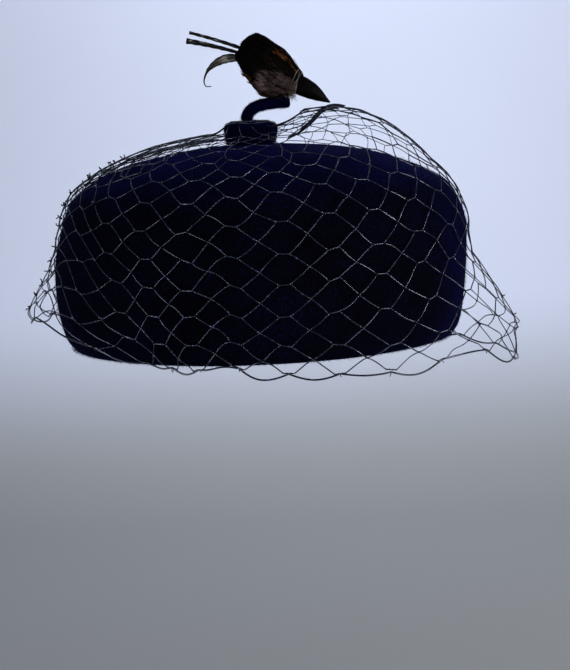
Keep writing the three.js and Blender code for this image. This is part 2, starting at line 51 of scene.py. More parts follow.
# Crown sizes and sections, as in the solid: height, front, back and side are shares.
CROWN_LENGTH = 221
CROWN_WIDTH = 198
CROWN_HEIGHT = 104
FELT = 2.6
CROWN_ROWS = [
    {"height": 1.0, "front": 0, "back": 0, "side": 0},
    {"height": 1.0, "front": 0.12, "back": 0.12, "side": 0.12},
    {"height": 0.98, "front": 0.35, "back": 0.33, "side": 0.34},
    {"height": 0.94, "front": 0.575, "back": 0.545, "side": 0.56},
    {"height": 0.88, "front": 0.74, "back": 0.72, "side": 0.73},
    {"height": 0.815, "front": 0.865, "back": 0.835, "side": 0.85},
    {"height": 0.76, "front": 0.93, "back": 0.893, "side": 0.912},
    {"height": 0.68, "front": 0.972, "back": 0.935, "side": 0.955},
    {"height": 0.58, "front": 1.003, "back": 0.965, "side": 0.985},
    {"height": 0.42, "front": 1.003, "back": 0.998, "side": 1.0},
    {"height": 0.22, "front": 0.99, "back": 1.0, "side": 0.995},
    {"height": 0.06, "front": 0.96, "back": 0.968, "side": 0.975},
    {"height": 0.0, "front": 0.925, "back": 0.93, "side": 0.945},
]
CROWN_AROUND = 240
CROWN_DOWN = 120
INSIDE_DOWN = 60
RIM_ROUND = 0.35

# The felt's surface: how uneven it is, and the fibres of its nap.
FELT_UNEVEN = 0.45
FELT_SEED = 3
NAP = {
    "crown": {"count": 36000, "length": 0.9, "width": 0.09, "lean": 0.55},
    "rim": {"count": 9000, "length": 1.3, "width": 0.09, "lean": 0.6},
    "button": {"count": 5200, "length": 0.8, "width": 0.08, "lean": 0.6},
    "stem": {"count": 3800, "length": 0.8, "width": 0.08, "lean": 0.6},
}

# Button and stem. Rows are shares: reach and height on the button, reach and rise along the stem.
GAP = 0.35
BUTTON_RADIUS = 14.4
BUTTON_HEIGHT = 12
BUTTON_BACK = 2.4
BUTTON_ROWS = [
    (0, 0), (0.84, 0), (0.92, 0.06), (0.96, 0.3), (1.0, 0.58),
    (0.985, 0.76), (0.9, 0.89), (0.74, 0.95), (0.4, 0.99), (0, 1.0),
]
BUTTON_AROUND = 96
BUTTON_UP = 48
STEM_DIAMETER = 6.2
STEM_REACH = 23.5
STEM_RISE = 9.0
STEM_BACK = 1.6
STEM_ROWS = [(0, 0), (0, 0.12), (0.02, 0.34), (0.12, 0.64), (0.32, 0.86), (0.62, 0.96), (1.0, 1.0)]
STEM_STEPS = 40

# Body of the trim. Its rows are shares of its length, its thickness and its depth.
PLUME_LENGTH = 37
PLUME_THICK = 29
PLUME_DEPTH = 24
PLUME_TILT = 27.9
PLUME_AHEAD = 5.1
PLUME_SEAT = 0.19
PLUME_ROWS = {
    "along": [0, 0.12, 0.25, 0.4, 0.55, 0.7, 0.83, 0.93, 1.0],
    "above": [0.2, 0.27, 0.36, 0.43, 0.47, 0.5, 0.5, 0.41, 0.26],
    "below": [0.2, 0.32, 0.4, 0.455, 0.4, 0.3, 0.19, 0.08, -0.02],
    "beside": [0.2, 0.32, 0.42, 0.48, 0.46, 0.4, 0.3, 0.18, 0.08],
}
PLUME_AROUND = 48
PLUME_STEPS = 40

# Feathers laid on the body. Starts and lengths are shares of it, and turns are degrees from its top.
DARK_FEATHERS = 78
DARK_BARBS = 120
RUST_FEATHERS = [
    {"count": 14, "start": (0.02, 0.3), "turn": (5, 48), "length": (0.14, 0.24),
     "width": (2, 3.4), "lift": (0.4, 0.8), "barbs": 60, "sway": 0.2},
    {"count": 9, "start": (0.3, 0.55), "turn": (135, 200), "length": (0.2, 0.35),
     "width": (4, 6), "lift": (0.4, 0.8), "barbs": 80, "sway": 0.2},
    {"count": 8, "start": (0.5, 0.74), "turn": (140, 200), "length": (0.1, 0.18),
     "width": (2, 3.5), "lift": (1.0, 2.2), "barbs": 60, "sway": 0.3},
]
SHAFT_STEPS = 14
SHAFT_RADIUS = 0.22
BARB_WIDTH = 0.28
BARB_SPLAY = 0.5
DOWN_STRANDS = 9500
DOWN_TURN = 120
FRAYED_ENDS = 260
FRAYS_BELOW = 5.5

# Thread round the neck: where each turn starts and how far it slopes, in shares of the body's length.
BINDING_TURNS = [(0.02, 0.05), (0.04, -0.02), (0.06, -0.05), (0.075, 0.04)]
BINDING_RADIUS = 0.11

# Tip rows: along its length, radius as a share of its diameter, and droop as a share of its length.
TIP_LENGTH = 18.5
TIP_DIAMETER = 10.4
TIP_INSET = 1.6
TIP_ROWS = [
    (0, 0.5, 0), (0.22, 0.49, 0), (0.45, 0.43, -0.01),
    (0.68, 0.3, -0.035), (0.86, 0.15, -0.055), (1.0, 0.04, -0.065),
]
TIP_STEPS = 30

# Quills: how far above and aside of the trim's axis, droop of the end, and half widths at root and end.
QUILL_LENGTH = 27
QUILL_ROOT = 4
QUILL_THICK = 0.6
QUILL_STEPS = 36
QUILL_HAIRS = 70
QUILLS = [
    {"node": "quill_upper", "above": 4.4, "aside": 1.2, "droop": -4.9, "wide_root": 1.0, "wide_end": 0.8},
    {"node": "quill_lower", "above": 1.9, "aside": -1.2, "droop": -6.8, "wide_root": 0.8, "wide_end": 1.5},
]

# Curl rows: places beyond the tail and above the trim's axis, in shares of CURL_SIZE, and share of width.
CURL_SIZE = 20
CURL_HALF_WIDTH = 2.1
CURL_ROWS = [
    (-0.3, 0.02, 0.5), (0.0, -0.1, 0.9), (0.22, -0.24, 1.0), (0.4, -0.46, 0.95),
    (0.5, -0.71, 0.75), (0.48, -0.98, 0.45), (0.37, -1.1, 0.3), (0.24, -1.04, 0.22),
]
CURL_STEPS = 60
CURL_BARBS = 420
CURL_BARB_LENGTH = 3.2

# Veil: how far the net stands off the felt, in shares of VEIL_LIFT, from the crown's top to below the rim.
VEIL_START = 0.135
VEIL_LIFT = 30
VEIL_HEM = {"front": 1.08, "back": 0.9, "side": 1.025}
VEIL_RING = 8
VEIL_LEVEL_FROM = 0.88
VEIL_ROWS = {
    "along": [0.135, 0.21, 0.28, 0.345, 0.42, 0.49, 0.56, 0.63, 0.72, 0.77, 0.83, 0.873, 0.91, 0.965, 1.08],
    "front": [0.61, 0.7, 0.68, 0.57, 0.39, 0.2, 0.085, 0.06, 0.05, 0.11, 0.4, 0.63, 0.83, 1.1, 1.17],
    "back": [0.23, 0.215, 0.2, 0.165, 0.13, 0.1, 0.09, 0.07, 0.055, 0.13, 0.35, 0.55, 0.5, 0.2, 0.15],
    "side": [0.18, 0.17, 0.155, 0.14, 0.12, 0.1, 0.09, 0.07, 0.05, 0.05, 0.05, 0.055, 0.06, 0.1, 0.18],
}
NET_COLUMNS = 26
NET_MESHES = 11
NET_SEED = 21
EVERY_COLUMN = range(NET_COLUMNS)

# Threads of the net. A knot's half length is in columns, and the tight share is for threads drawn tight.
TWIST_LENGTH = 5.6
THREAD_RADIUS = 0.32
TWIST_RADIUS = 0.46
KNOT_RADIUS = 0.5
KNOT_HALF_LENGTH = 0.012
TIGHT_SHARE = 0.62

# Where the net lies over the button: height there as a share of the button's, by share of its radius.
OVER_BUTTON = {"reach": [0, 0.74, 0.9, 1.0], "height": [1.0, 0.95, 0.89, 0.7]}
OFF_BUTTON = 0.4

# Stretches of hem that are drawn up: direction and spread in degrees, and height as a share of the outline.
HEM_RAISED = [(-32, 15, 0.055), (-101, 6, 0.03), (-156, 12, 0.05)]

# Direction and spread of the stretch where the net is swept forward, and by how many columns at its hem.
SWEPT_AT = math.radians(218)
SWEPT_SPREAD = math.radians(22)
SWEPT_COLUMNS = 1.1

# Doubled net behind the button and down the back.
BUTTON_FOLD_MESHES = range(5)
BUTTON_FOLD_SEED = 51
BACK_FOLD_COLUMNS = range(8, 13)
BACK_FOLD_MESHES = range(4, 12)
BACK_FOLD_SEED = 61

# Rope of gathered threads in front of the button, as places along the outline and shares of VEIL_LIFT.
GATHER_ROWS = [(0.089, 0.075), (0.125, 0.22), (0.16, 0.43), (0.183, 0.6), (0.215, 0.69), (0.27, 0.68)]
ROPE_STEPS = 60
ROPE_THREADS = 15

# Cut ends: those at the back round one column, and those in front low on the veil.
CUT_ENDS_BEHIND = 128
CUT_ENDS_AHEAD = 8
CUT_COLUMN = 12.9


def unit(vectors):
    return vectors / np.maximum(np.linalg.norm(vectors, axis=-1, keepdims=True), 1e-12)


# Rows of a table, read at places between its own.
def read_rows(wanted, places, rows):
    return np.stack([np.interp(wanted, places, rows[:, k]) for k in range(rows.shape[1])], axis=1)


SPAN_STEPS = 24


# Smooth curve through points with the same spacing rule as the solid's, at even steps along its length.
def smooth_path(points, count):
    points = np.asarray(points, float)
    padded = np.vstack([2 * points[0] - points[1], points, 2 * points[-1] - points[-2]])
    steps = np.linspace(0, 1, SPAN_STEPS, endpoint=False)[:, None]
    spans = []
    for k in range(1, len(padded) - 2):
        a, b, c, d = padded[k - 1:k + 3]
        spans.append(0.5 * (2 * b + (c - a) * steps + (2 * a - 5 * b + 4 * c - d) * steps ** 2
                            + (3 * b - a - 3 * c + d) * steps ** 3))
    dense = np.vstack(spans + [points[-1:]])
    length = np.r_[0, np.cumsum(np.linalg.norm(np.diff(dense, axis=0), axis=1))]
    return read_rows(np.linspace(0, 1, count) * length[-1], length, dense)


# A value that goes from front over side to back with the direction round the hat.
def by_direction(angle, front, back, side):
    ahead = np.cos(angle)
    return side + (np.where(ahead > 0, front, back) - side) * ahead ** 2


# The crown's outline, sampled once round the hat and from its top to its rim.
OUTLINE_ANGLES = 181
OUTLINE_STEPS = 241


def outline_table():
    angles = np.linspace(0, TURN, OUTLINE_ANGLES)
    reach = np.zeros((OUTLINE_ANGLES, OUTLINE_STEPS))
    height = np.zeros_like(reach)
    length = np.zeros(OUTLINE_ANGLES)
    for k, angle in enumerate(angles):
        edge = 1 / math.hypot(math.cos(angle) / (CROWN_LENGTH / 2), math.sin(angle) / (CROWN_WIDTH / 2))
        rows = []
        for row in CROWN_ROWS:
            share = by_direction(angle, row["front"], row["back"], row["side"])
            rows.append((edge * share, CROWN_HEIGHT * row["height"]))
        path = smooth_path(rows, OUTLINE_STEPS)
        reach[k], height[k] = path[:, 0], path[:, 1]
        length[k] = np.linalg.norm(np.diff(path, axis=0), axis=1).sum()
    return reach, height, length


OUTLINE_REACH, OUTLINE_HEIGHT, OUTLINE_LENGTH = outline_table()


def read_outline(table, angle, along):
    column = (angle / TURN % 1) * (OUTLINE_ANGLES - 1)
    row = np.clip(along, 0, 1) * (OUTLINE_STEPS - 1)
    left = np.minimum(column.astype(int), OUTLINE_ANGLES - 2)
    upper = np.minimum(row.astype(int), OUTLINE_STEPS - 2)
    across, down = column - left, row - upper
    at_left = table[left, upper] * (1 - down) + table[left, upper + 1] * down
    at_right = table[left + 1, upper] * (1 - down) + table[left + 1, upper + 1] * down
    return at_left * (1 - across) + at_right * across


# Points off the felt by a distance in millimetres, and the directions off the felt there. The directions
# turn level between level_from and the rim.
def off_felt(angle, along, distance, level_from=1.0):
    angle, along, distance = np.broadcast_arrays(*(np.asarray(v, float) for v in (angle, along, distance)))
    step = 0.004
    inside = np.clip(along, step, 1)
    run = read_outline(OUTLINE_REACH, angle, inside) - read_outline(OUTLINE_REACH, angle, inside - step)
    fall = read_outline(OUTLINE_HEIGHT, angle, inside) - read_outline(OUTLINE_HEIGHT, angle, inside - step)
    below = along > 1
    run, fall = np.where(below, 0, run), np.where(below, -1, fall)
    size = np.hypot(run, fall)
    out, rise = -fall / size, run / size
    if level_from < 1:
        share = np.clip((along - level_from) / (1 - level_from), 0, 1)
        rise = rise * (1 - share ** 2 * (3 - 2 * share))
        size = np.hypot(out, rise)
        out, rise = out / size, rise / size
    reach = read_outline(OUTLINE_REACH, angle, along) + out * distance
    height = read_outline(OUTLINE_HEIGHT, angle, along) + rise * distance
    height = height - np.where(below, along - 1, 0) * np.interp(
        angle % TURN, np.linspace(0, TURN, OUTLINE_ANGLES), OUTLINE_LENGTH)
    points = np.stack([reach * np.cos(angle), reach * np.sin(angle), height], axis=-1)
    off = np.stack([out * np.cos(angle), out * np.sin(angle), rise], axis=-1)
    return points, off


# Collects the parts of one mesh.
class Maker:
    def __init__(self):
        self.points, self.faces, self.count = [], [], 0

    # A sheet over rows of points, each of which closes on itself.
    def grid(self, points):
        rows, columns = points.shape[:2]
        left = np.arange(rows * columns).reshape(rows, columns)
        right = np.roll(left, -1, axis=1)
        quads = np.stack([left[:-1], right[:-1], right[1:], left[1:]], axis=-1).reshape(-1, 4)
        self.points.append(points.reshape(-1, 3))
        self.faces.extend((quads + self.count).tolist())
        self.count += rows * columns

    def tube(self, path, radius, sides, reference=UP, flat=1.0):
        path = np.asarray(path, float)
        radius = np.broadcast_to(radius, len(path))
        forward = unit(np.gradient(path, axis=0))
        side = unit(np.cross(np.broadcast_to(reference, path.shape), forward) + 1e-9)
        up = np.cross(forward, side)
        turn = np.linspace(0, TURN, sides, endpoint=False)
        ring = (path[:, None] + radius[:, None, None] * (side[:, None] * np.cos(turn)[None, :, None]
                + flat * up[:, None] * np.sin(turn)[None, :, None]))
        self.grid(ring)
        self.close_ends(len(path), sides)

    # Closes both ends of the grid that was added last.
    def close_ends(self, rows, columns):
        first = self.count - rows * columns
        last = self.count - columns
        self.faces.append([first + k for k in range(columns)][::-1])
        self.faces.append([last + k for k in range(columns)])

    # Flat tapered ribbons, with one direction across each of them, and one width at each of their points.
    def ribbons(self, paths, across, widths):
        count, steps = paths.shape[:2]
        half = across[:, None] * np.asarray(widths)[:, None] / 2
        left = paths[:, :-1] - half[:, :-1]
        right = paths[:, :-1] + half[:, :-1]
        points = np.concatenate([left, right, paths[:, -1:]], axis=1)
        each = 2 * (steps - 1) + 1
        base = np.arange(count)[:, None] * each
        for k in range(steps - 2):
            corners = np.array([k, k + 1, steps + k, steps - 1 + k])
            self.faces.extend((base + corners + self.count).tolist())
        point = np.array([steps - 2, each - 1, 2 * (steps - 1) - 1])
        self.faces.extend((base + point + self.count).tolist())
        self.points.append(points.reshape(-1, 3))
        self.count += count * each

    def piece(self, name, material, smooth=True):
        mesh = bpy.data.meshes.new(name)
        mesh.from_pydata((np.vstack(self.points) * MM).tolist(), [], self.faces)
        mesh.validate()
        if smooth:
            mesh.shade_smooth()
        mesh.materials.append(material)
        made = bpy.data.objects.new(name, mesh)
        bpy.context.collection.objects.link(made)
        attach(made, "root")
        return made


# Materials.
def material(name, roughness, **constants):
    made = bpy.data.materials.new(name)
    made.use_nodes = True
    nodes = made.node_tree.nodes
    shader = nodes["Principled BSDF"]
    shader.inputs["Roughness"].default_value = roughness
    for key, value in constants.items():
        shader.inputs[key.replace("_", " ")].default_value = value
    return made, nodes, made.node_tree.links, shader


# Gives a socket either a link from another socket or a value of its own.
def feed(links, socket, value):
    if isinstance(value, bpy.types.NodeSocket):
        links.new(value, socket)
    else:
        socket.default_value = value


def noise(nodes, links, scale, detail=3.0, stretch=None):
    source = nodes.new("ShaderNodeTexCoord").outputs["Object"]
    if stretch:
        mapping = nodes.new("ShaderNodeMapping")
        mapping.inputs["Scale"].default_value = stretch
        links.new(source, mapping.inputs["Vector"])
        source = mapping.outputs["Vector"]
    texture = nodes.new("ShaderNodeTexNoise")
    texture.inputs["Scale"].default_value = scale
    texture.inputs["Detail"].default_value = detail
    links.new(source, texture.inputs["Vector"])
    return texture.outputs["Fac"]


def object_axes(nodes, links):
    parts = nodes.new("ShaderNodeSeparateXYZ")
    links.new(nodes.new("ShaderNodeTexCoord").outputs["Object"], parts.inputs["Vector"])
    return parts.outputs


def calculate(nodes, links, operation, *values):
    made = nodes.new("ShaderNodeMath")
    made.operation = operation
    for socket, value in zip(made.inputs, values):
        feed(links, socket, value)
    return made.outputs[0]


def smooth_step(nodes, links, value, low, high):
    made = nodes.new("ShaderNodeMapRange")
    made.interpolation_type = "SMOOTHSTEP"
    made.inputs["From Min"].default_value = low
    made.inputs["From Max"].default_value = high
    links.new(value, made.inputs["Value"])
    return made.outputs["Result"]


def mix_colours(nodes, links, share, first, second):
    made = nodes.new("ShaderNodeMix")
    made.data_type = "RGBA"
    feed(links, made.inputs["Factor"], share)
    feed(links, made.inputs["A"], first)
    feed(links, made.inputs["B"], second)
    return made.outputs["Result"]


def ramp(nodes, links, source, stops):
    made = nodes.new("ShaderNodeValToRGB")
    elements = made.color_ramp.elements
    while len(elements) < len(stops):
        elements.new(0.5)
    for element, (place, colour) in zip(elements, stops):
        element.position = place
        element.color = (*colour, 1)
    links.new(source, made.inputs["Fac"])
    return made.outputs["Color"]


def bump(nodes, links, shader, height, distance, strength=1.0):
    made = nodes.new("ShaderNodeBump")
    made.inputs["Distance"].default_value = distance
    made.inputs["Strength"].default_value = strength
    links.new(height, made.inputs["Height"])
    links.new(made.outputs["Normal"], shader.inputs["Normal"])


# Where the felt's painted light starts and reaches full strength, in shares of the crown's height and half
# its length.
PAINTED_LIGHT_RISES = (0.68, 0.95)
PAINTED_LIGHT_AHEAD = (0.72, 1.0)
# Shaded and lit copies of the felt's colour, mixed by where the light falls.
VELOUR_SHADED = [
    (0.36, (0.0001, 0.0001, 0.0004)), (0.52, (0.0002, 0.0002, 0.0014)), (0.66, (0.001, 0.0011, 0.009)),
]
VELOUR_LIT = [
    (0.38, (0.0001, 0.0001, 0.001)), (0.5, (0.0003, 0.0003, 0.005)), (0.66, (0.0012, 0.0014, 0.032)),
]


def velour_material():
    made, nodes, links, shader = material(
        "velour", roughness=0.95, Sheen_Weight=0.06, Sheen_Roughness=0.35,
        Sheen_Tint=(0.03, 0.04, 0.75, 1), Specular_IOR_Level=0.02)
    broad = noise(nodes, links, scale=38, detail=4)
    fine = noise(nodes, links, scale=1100, detail=2)
    broad_part = calculate(nodes, links, "MULTIPLY", broad, 0.25)
    blend = calculate(nodes, links, "MULTIPLY_ADD", fine, 0.75, broad_part)
    dark = ramp(nodes, links, blend, VELOUR_SHADED)
    lit_felt = ramp(nodes, links, blend, VELOUR_LIT)
    # Painted light and shade: the felt takes a darker, shaded colour on the sides and a brighter, bluer lit
    # colour on the top and at the front, where the light falls.
    axes = object_axes(nodes, links)
    # rise and ahead are shares of painted light, by height and towards the front.
    rise = smooth_step(nodes, links, axes["Z"], *(share * CROWN_HEIGHT * MM for share in PAINTED_LIGHT_RISES))
    ahead = smooth_step(nodes, links, axes["X"], *(share * CROWN_LENGTH / 2 * MM for share in PAINTED_LIGHT_AHEAD))
    painted_light_share = calculate(nodes, links, "MAXIMUM", rise, ahead)
    links.new(mix_colours(nodes, links, painted_light_share, dark, lit_felt), shader.inputs["Base Color"])
    bump(nodes, links, shader, fine, distance=0.0006, strength=0.8)
    return made


def plain_material(name, stops, roughness, scale, relief=0, stretch=None, **constants):
    made, nodes, links, shader = material(name, roughness, **constants)
    value = noise(nodes, links, scale, stretch=stretch)
    links.new(ramp(nodes, links, value, stops), shader.inputs["Base Color"])
    if relief:
        bump(nodes, links, shader, value, relief)
    return made


velour = velour_material()
# The thread's ramp tops out in bright specks, painted highlights that stand in for glints along the twisted
# threads; its darker stops are the thread's own navy.
thread = plain_material(
    "net thread",
    [(0.42, (0.001, 0.0012, 0.004)), (0.58, (0.003, 0.004, 0.013)), (0.74, (0.05, 0.06, 0.13))],
    roughness=0.24, scale=500, Specular_IOR_Level=0.6, Specular_Tint=(0.8, 0.86, 1.0, 1))
dark_feather = plain_material(
    "dark feather",
    [(0.38, (0.0004, 0.0005, 0.0004)), (0.56, (0.0009, 0.0007, 0.0005)), (0.74, (0.0045, 0.0022, 0.0012))],
    roughness=0.8, scale=200, relief=0.0002, Specular_IOR_Level=0.02)
rust_feather = plain_material(
    "rust feather",
    [(0.35, (0.003, 0.0015, 0.001)), (0.52, (0.014, 0.005, 0.002)), (0.68, (0.08, 0.03, 0.011))],
    roughness=0.8, scale=300, relief=0.0002, Specular_IOR_Level=0.02)
grey_fluff = plain_material(
    "grey down",
    [(0.3, (0.03, 0.018, 0.016)), (0.5, (0.07, 0.045, 0.043)), (0.7, (0.2, 0.14, 0.135))],
    roughness=0.85, scale=90, relief=0.0001, Specular_IOR_Level=0.05)
# The quill's brightest stop puts sparse pale specks on the black horn, painted glints.
quill_horn = plain_material(
    "quill horn",
    [(0.4, (0.0006, 0.0005, 0.0006)), (0.6, (0.002, 0.0015, 0.0013)), (0.7, (0.2, 0.18, 0.18))],
    roughness=0.45, scale=300, relief=0.0001, stretch=(1, 1, 5), Specular_IOR_Level=0.1)
curl_grey = plain_material(
    "curled feather",
    [(0.38, (0.004, 0.0035, 0.0035)), (0.5, (0.035, 0.028, 0.021)), (0.64, (0.26, 0.24, 0.21))],
    roughness=0.5, scale=150, relief=0.0001, Specular_IOR_Level=0.3)
gloss = plain_material(
    "gloss black",
    [(0.35, (0.0005, 0.0005, 0.0006)), (0.7, (0.002, 0.0017, 0.0014))],
    roughness=0.45, scale=180, relief=0.0003, Specular_IOR_Level=0.1, IOR=1.2)


# Short fibres that stand on a surface, for the felt's nap.
def add_nap(maker, points, off, fibres):
    count = len(points)
    wander = unit(rng.normal(size=(count, 3)))
    way = unit(off + fibres["lean"] * wander)
    size = fibres["length"] * (0.5 + rng.random((count, 1)))
    across = unit(np.cross(way, rng.normal(size=(count, 3))))
    middle = points + way * size * 0.6 + wander * size * 0.08
    paths = np.stack([points, middle, points + way * size], axis=1)
    maker.ribbons(paths, across, [fibres["width"], fibres["width"] * 0.7, 0])


WAVES = 7


# Waves added up over the hat, different for each seed.
def unevenness(angle, along, seed):
    draw = np.random.default_rng(seed)
    total = 0
    for _ in range(WAVES):
        around, down = draw.integers(1, 9), draw.uniform(2, 14)
        total = total + np.sin(around * angle + down * along * math.pi + draw.uniform(0, 6.3)) / WAVES
    return total


# Crown, with a slightly uneven surface.
def make_crown():
    around = np.linspace(0, TURN, CROWN_AROUND, endpoint=False)
    angle, along = np.meshgrid(around, np.linspace(0, 1, CROWN_DOWN)[1:])
    fade = np.minimum(1, along * 6)
    outer, _ = off_felt(angle, along, FELT_UNEVEN * fade * unevenness(angle, along, FELT_SEED))
    outer[-1, :, 2] = 0.0
    angle, along = np.meshgrid(around, np.linspace(1, 0, INSIDE_DOWN)[:-1])
    inner, _ = off_felt(angle, along, -FELT)
    inner[0, :, 2] = 0.0
    edge = (outer[-1] + inner[0]) / 2
    edge[:, 2] = -RIM_ROUND
    maker = Maker()
    maker.grid(np.concatenate([outer, edge[None], inner]))
    top = maker.count
    maker.points.append(np.array([[0, 0, CROWN_HEIGHT], [0, 0, CROWN_HEIGHT - FELT]], float))
    for k in range(CROWN_AROUND):
        beside = (k + 1) % CROWN_AROUND
        maker.faces.append([top, beside, k])
        maker.faces.append([top + 1, top - CROWN_AROUND + k, top - CROWN_AROUND + beside])
    maker.count += 2
    made = maker.piece("crown_felt", velour)
    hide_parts("crown")

    nap = Maker()
    count = NAP["crown"]["count"]
    angle = rng.uniform(0, TURN, count)
    along = np.sqrt(rng.uniform(0.0, 1.0, count) * 0.75 + rng.uniform(0, 0.25, count))
    points, off = off_felt(angle, np.minimum(along, 0.999), 0)
    add_nap(nap, points, off - 0.35 * UP, NAP["crown"])
    count = NAP["rim"]["count"]
    angle = rng.uniform(0, TURN, count)
    points, off = off_felt(angle, rng.uniform(0.985, 1.0, count), -rng.uniform(0, FELT, count))
    points[:, 2] = np.minimum(points[:, 2], 0.6)
    add_nap(nap, points, 0.5 * off - UP, NAP["rim"])
    nap.piece("crown_nap", velour, smooth=False)


# Button and stem, both covered with the same felt.
button_foot = CROWN_HEIGHT + GAP
button_top = button_foot + BUTTON_HEIGHT
stem_foot = np.array([-BUTTON_BACK - STEM_BACK, 0, button_top + GAP])


def make_button():
    rows = [(BUTTON_RADIUS * reach, BUTTON_HEIGHT * height) for reach, height in BUTTON_ROWS]
    profile = smooth_path(rows, BUTTON_UP)
    turn = np.linspace(0, TURN, BUTTON_AROUND, endpoint=False)
    wobble = 1 + 0.012 * np.sin(3 * turn + 1) + 0.008 * np.sin(7 * turn)
    reach = np.maximum(profile[:, 0], 0.01)[:, None] * wobble[None]
    points = np.stack([
        reach * np.cos(turn) - BUTTON_BACK,
        reach * np.sin(turn),
        np.repeat(profile[:, 1:], BUTTON_AROUND, axis=1) + button_foot,
    ], axis=-1)
    maker = Maker()
    maker.grid(points)
    made = maker.piece("button_felt", velour)
    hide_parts("button")

    # The foot's underside is out of sight, so the nap starts at its edge.
    nap = Maker()
    rows = rng.integers(14, BUTTON_UP - 1, NAP["button"]["count"])
    columns = rng.integers(0, BUTTON_AROUND, NAP["button"]["count"])
    roots = points[rows, columns]
    off = unit(roots - np.array([-BUTTON_BACK, 0, button_foot + 0.45 * BUTTON_HEIGHT]))
    add_nap(nap, roots, off, NAP["button"])
    nap.piece("button_nap", velour, smooth=False)


def make_stem():
    rows = [stem_foot + np.array([STEM_REACH * reach, 0, STEM_RISE * rise]) for reach, rise in STEM_ROWS]
    path = smooth_path(rows, STEM_STEPS)
    share = np.linspace(0, 1, STEM_STEPS)
    ends = np.minimum(1, np.minimum(share * 30 + 0.8, (1 - share) * 14 + 0.55))
    radius = STEM_DIAMETER / 2 * ends * (1 + 0.02 * np.sin(share * 31))
    maker = Maker()
    maker.tube(path, radius, sides=32, reference=SIDEWAYS)
    made = maker.piece("stem_felt", velour)
    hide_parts("stem")

    nap = Maker()
    pick = rng.integers(0, STEM_STEPS - 1, NAP["stem"]["count"])
    turn = rng.uniform(0, TURN, NAP["stem"]["count"])
    forward = unit(np.gradient(path, axis=0))[pick]
    across = np.broadcast_to(SIDEWAYS, forward.shape)
    up = np.cross(forward, across)
    off = across * np.cos(turn)[:, None] + up * np.sin(turn)[:, None]
    add_nap(nap, path[pick] + off * radius[pick][:, None], off, NAP["stem"])
    nap.piece("stem_nap", velour, smooth=False)


# Feather trim. Its frame has its origin at the neck, along runs to the tail and above points off the stem.
tilt = math.radians(PLUME_TILT)
TOWARD_TAIL = np.array([-math.cos(tilt), 0, math.sin(tilt)])
OFF_STEM = np.array([math.sin(tilt), 0, math.cos(tilt)])
arm_top = stem_foot[2] + STEM_RISE + STEM_DIAMETER / 2
NECK = np.array([stem_foot[0] + STEM_REACH + PLUME_AHEAD, 0, arm_top + PLUME_SEAT * PLUME_THICK])


def in_trim(along, aside, above):
    along, aside, above = np.broadcast_arrays(*(np.asarray(v, float) for v in (along, aside, above)))
    return NECK + along[..., None] * TOWARD_TAIL - aside[..., None] * SIDEWAYS + above[..., None] * OFF_STEM


# Surface of the body at a share of its length and a turn round it, as distances aside and above its axis.
def plume_half(along, turn):
    upward = np.cos(turn)
    above, below, beside = (np.interp(along, PLUME_ROWS["along"], PLUME_ROWS[key])
                            for key in ("above", "below", "beside"))
    height = np.where(upward > 0, above, below) * PLUME_THICK
    return beside * PLUME_DEPTH * np.sin(turn), height * upward


# One feather laid along the body at a turn round it: a shaft, and barbs on both sides.
def add_feather(maker, turn, start, end, width, lift, barbs, sway):
    share = np.linspace(0, 1, SHAFT_STEPS)
    along = start + (end - start) * share
    aside, above = plume_half(np.clip(along, 0, 1), turn + sway * share ** 1.5)
    size = np.maximum(np.hypot(aside, above), 1.0)
    grow = 1 + (0.3 + lift * share ** 1.6) / size
    path = in_trim(along * PLUME_LENGTH, aside * grow, above * grow)
    axis = in_trim(along * PLUME_LENGTH, 0, 0)
    maker.tube(path, SHAFT_RADIUS * (1 - 0.75 * share), sides=4, reference=SIDEWAYS + 0.1 * UP)
    at = np.sort(rng.uniform(0.04, 1.0, barbs))
    root = read_rows(at, share, path)
    forward = unit(read_rows(at, share, np.gradient(path, axis=0)))
    off = unit(root - read_rows(at, share, axis) + 1e-6)
    across = unit(np.cross(forward, off))
    side = np.where(rng.random(barbs) < 0.5, -1.0, 1.0)[:, None]
    reach = (width / 2 * np.sin(math.pi * np.clip(at, 0.02, 0.97) ** 0.85) ** 0.7 + 0.8)[:, None]
    reach = reach * rng.uniform(0.75, 1.15, (barbs, 1))
    slant = BARB_SPLAY + rng.normal(0, 0.07, (barbs, 1))
    way = unit(forward * np.cos(slant) + side * across * np.sin(slant))
    sink = -0.12 * reach * off
    middle = root + way * reach * 0.55 - 0.2 * sink
    tip = root + way * reach + forward * reach * 0.18 + sink + rng.normal(0, 0.12, (barbs, 3))
    paths = np.stack([root, middle, tip], axis=1)
    maker.ribbons(paths, unit(np.cross(way, off)), [BARB_WIDTH, BARB_WIDTH * 1.15, 0])


# Loose strands, each with a size and a bend of its own.
def add_strands(maker, roots, way, size, bend, widths):
    paths = np.stack([roots, roots + way * size * 0.5, roots + way * size * 0.85 + bend * 0.5,
                      roots + way * size + bend], axis=1)
    across = unit(np.cross(way, rng.normal(size=roots.shape)))
    maker.ribbons(paths, across, widths)


